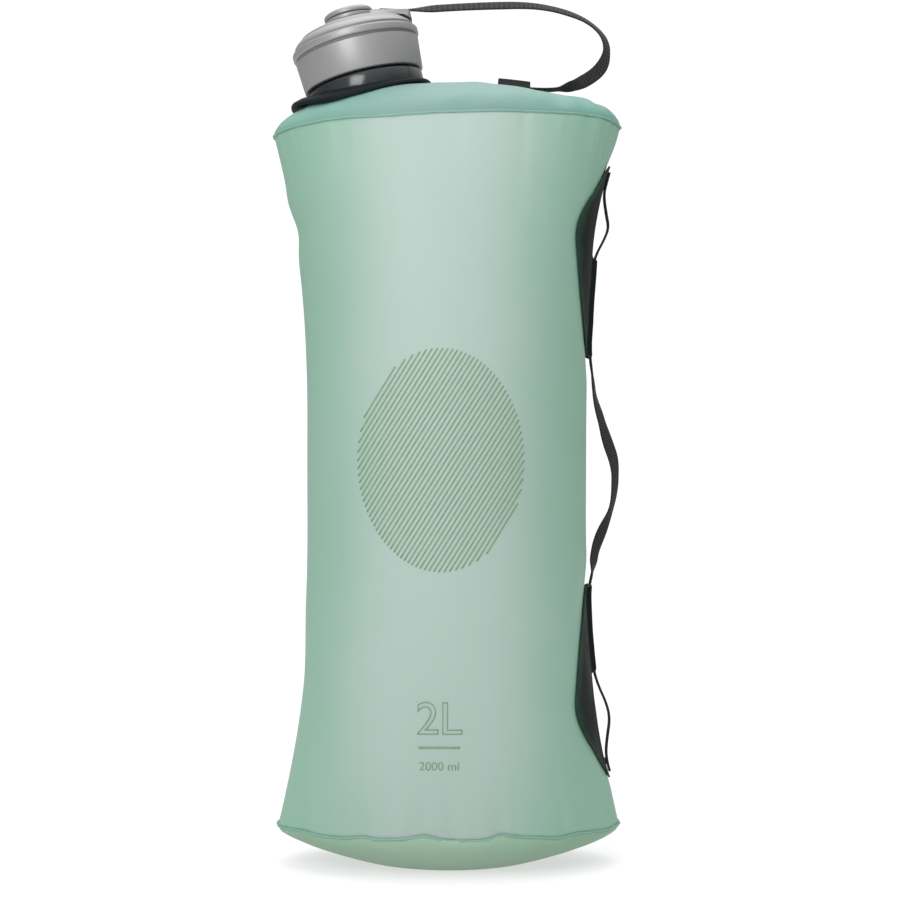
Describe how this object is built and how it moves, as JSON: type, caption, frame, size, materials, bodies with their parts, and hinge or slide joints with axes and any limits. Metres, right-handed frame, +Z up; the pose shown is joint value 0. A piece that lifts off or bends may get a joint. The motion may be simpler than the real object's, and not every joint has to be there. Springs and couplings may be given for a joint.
{
  "type": "folding water bottle",
  "caption": "Soft collapsible water bottle: an hourglass film bag with a tilted screw cap on a leash, and a webbing strap held by two side anchors.",
  "frame": {"origin": "middle of the foot, on the surface the bottle stands on", "axes": "+Z up; +X towards the side strap, with the cap on the -X side; -Y is the printed front"},
  "size_m": [0.1278, 0.1014, 0.313],
  "materials": {
    "film": "frosted translucent soft film",
    "neck_plastic": "glossy moulded black",
    "cap_plastic": "satin moulded grey",
    "liner_plastic": "smooth light grey",
    "seal_rubber": "soft silicone",
    "webbing": "woven flat webbing",
    "anchor_rubber": "smooth dark welded film",
    "thread": "dense bar-tack stitching"
  },
  "bodies": {
    "bag": {"top_panel": "film", "bottom_panel": "film", "neck_spout": "neck_plastic", "leash_keeper": "webbing", "upper_anchor": "anchor_rubber", "lower_anchor": "anchor_rubber", "leash": "webbing", "side_strap": "webbing", "strap_tacks": "thread"},
    "front_wall": {"front_panel": "film"},
    "back_wall": {"back_panel": "film"},
    "swivel": {"leash_swivel": "cap_plastic", "swivel_tack": "thread"},
    "cap": {"cap_shell": "cap_plastic", "cap_liner": "liner_plastic", "cap_seal": "seal_rubber", "swivel_pin": "cap_plastic"}
  },
  "joints": [
    {"name": "cap_rise", "type": "slide", "parent": "bag", "child": "swivel", "axis": [-0.2334, 0, 0.9724], "range_m": [0, 0.012], "deforming": ["leash"]},
    {"name": "cap_turn", "type": "hinge", "parent": "swivel", "child": "cap", "pos_m": [-0.0293, 0, 0.28091], "axis": [-0.2334, 0, 0.9724], "range_deg": [0, 1081]},
    {"name": "front_press", "type": "slide", "parent": "bag", "child": "front_wall", "axis": [0, 1, 0], "range_m": [0, 0.025], "deforming": ["front_panel"]},
    {"name": "back_press", "type": "slide", "parent": "bag", "child": "back_wall", "axis": [0, -1, 0], "range_m": [0, 0.025], "deforming": ["back_panel"]}
  ],
  "couplings": [
    {"joint": "cap_turn", "follows": "cap_rise", "rad_per_m": 1570.8},
    {"joint": "back_press", "follows": "front_press", "ratio": 1}
  ]
}
